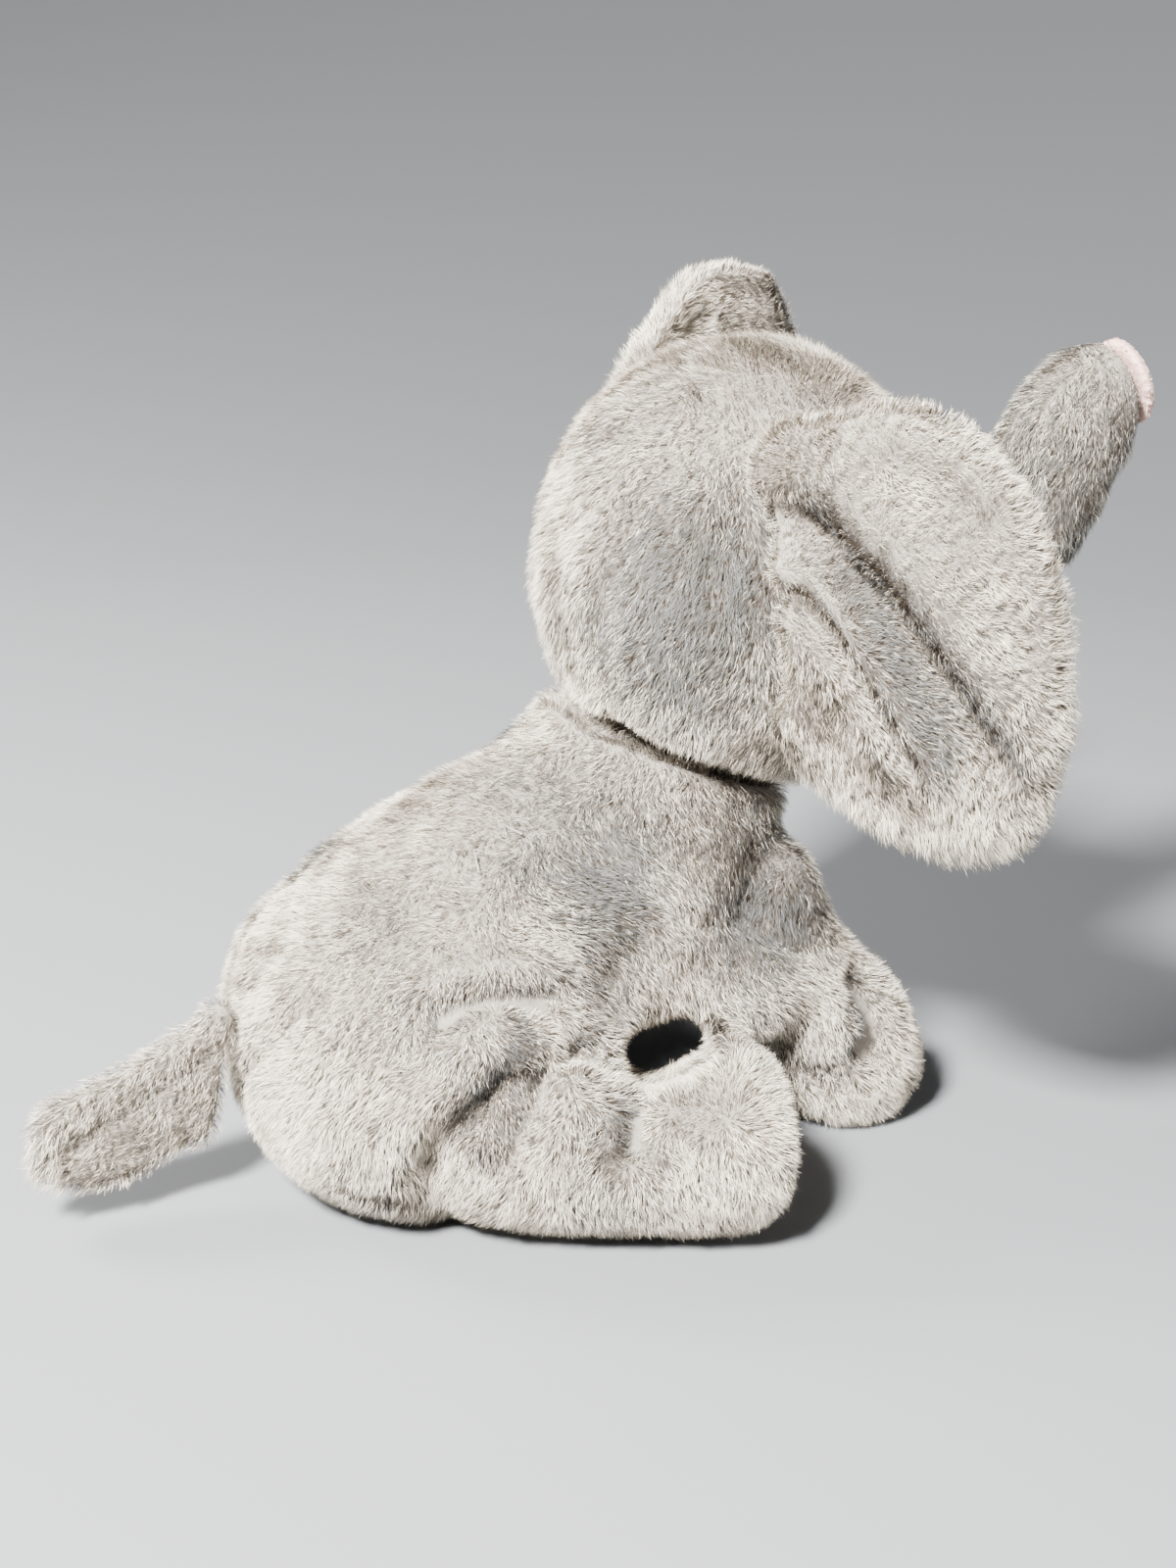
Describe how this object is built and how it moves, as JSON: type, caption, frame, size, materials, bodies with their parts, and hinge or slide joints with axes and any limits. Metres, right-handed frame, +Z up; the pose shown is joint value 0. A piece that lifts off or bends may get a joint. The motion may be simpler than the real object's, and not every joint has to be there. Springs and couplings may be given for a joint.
{
  "type": "stuffed elephant",
  "caption": "Sitting plush elephant with a large round head, floppy ears, raised trunk, four stuffed legs and a flat tail.",
  "frame": {"origin": "centre of the flat seat under the rump, on the floor", "axes": "+X forward, the way the elephant faces; +Y to its left; +Z up"},
  "size_m": [0.4338, 0.301, 0.3242],
  "materials": {
    "fur": "silver beige pile fabric",
    "lining": "short pile",
    "pink": "short velour",
    "sole": "short pile",
    "fibre": "loose polyester fibre",
    "beans": "plastic beans in a bag",
    "eye": "gloss",
    "washer": "satin",
    "thread": "spun polyester"
  },
  "bodies": {
    "torso": {"back_gusset": "fur", "body_side_right": "fur", "body_side_left": "fur", "belly_panel": "fur", "body_filling": "fibre", "bean_pouch": "beans", "closing_stitch": "thread"},
    "head": {"head_gusset": "fur", "chin_panel": "fur", "head_side_right": "fur", "head_side_left": "fur", "head_filling": "fibre", "eye_right": "eye", "eye_left": "eye", "eye_washer_right": "washer", "eye_washer_left": "washer"},
    "trunk": {"trunk_top_panel": "fur", "trunk_under_panel": "fur", "trunk_filling": "fibre", "trunk_tip_pad": "pink"},
    "ear_right": {"ear_right_back_panel": "fur", "ear_right_filling": "fibre", "ear_right_lining": "lining"},
    "ear_left": {"ear_left_back_panel": "fur", "ear_left_filling": "fibre", "ear_left_lining": "lining"},
    "tail": {"tail_right_panel": "fur", "tail_left_panel": "fur"},
    "front_leg_right": {"front_leg_right_outer_panel": "fur", "front_leg_right_inner_panel": "fur", "front_leg_right_filling": "fibre", "front_leg_right_sole": "sole"},
    "front_leg_left": {"front_leg_left_outer_panel": "fur", "front_leg_left_inner_panel": "fur", "front_leg_left_filling": "fibre", "front_leg_left_sole": "sole"},
    "hind_leg_right": {"hind_leg_right_outer_panel": "fur", "hind_leg_right_inner_panel": "fur", "hind_leg_right_filling": "fibre", "hind_leg_right_sole": "sole"},
    "hind_leg_left": {"hind_leg_left_outer_panel": "fur", "hind_leg_left_inner_panel": "fur", "hind_leg_left_filling": "fibre", "hind_leg_left_sole": "sole"}
  },
  "joints": [
    {"name": "head_turn", "type": "hinge", "parent": "torso", "child": "head", "pos_m": [0.119, 0, 0.163], "axis": [0.3987, 0, 0.9171], "range_deg": [-25, 25]},
    {"name": "trunk_bend", "type": "hinge", "parent": "head", "child": "trunk", "pos_m": [0.22021, -0.01492, 0.21238], "axis": [-0.0689, -0.9853, -0.1564], "range_deg": [-12, 12]},
    {"name": "ear_right_flap", "type": "hinge", "parent": "head", "child": "ear_right", "pos_m": [0.12853, -0.09315, 0.22129], "axis": [-0.1846, -0.1024, 0.9775], "range_deg": [-15, 15]},
    {"name": "ear_left_flap", "type": "hinge", "parent": "head", "child": "ear_left", "pos_m": [0.14591, 0.06943, 0.23805], "axis": [-0.19, -0.1799, 0.9652], "range_deg": [-15, 15]},
    {"name": "tail_swing", "type": "hinge", "parent": "torso", "child": "tail", "pos_m": [-0.06, 0, 0.063], "axis": [0.2545, 0, 0.9671], "range_deg": [-35, 35]},
    {"name": "front_leg_right_raise", "type": "hinge", "parent": "torso", "child": "front_leg_right", "pos_m": [0.142, -0.034, 0.1], "axis": [0, -1, 0], "range_deg": [0, 35]},
    {"name": "front_leg_left_raise", "type": "hinge", "parent": "torso", "child": "front_leg_left", "pos_m": [0.142, 0.034, 0.1], "axis": [0, -1, 0], "range_deg": [0, 35]},
    {"name": "hind_leg_right_spread", "type": "hinge", "parent": "torso", "child": "hind_leg_right", "pos_m": [0.023, -0.064, 0.04], "axis": [0, 0, -1], "range_deg": [0, 15]},
    {"name": "hind_leg_left_spread", "type": "hinge", "parent": "torso", "child": "hind_leg_left", "pos_m": [0.023, 0.064, 0.04], "axis": [0, 0, 1], "range_deg": [0, 15]}
  ]
}
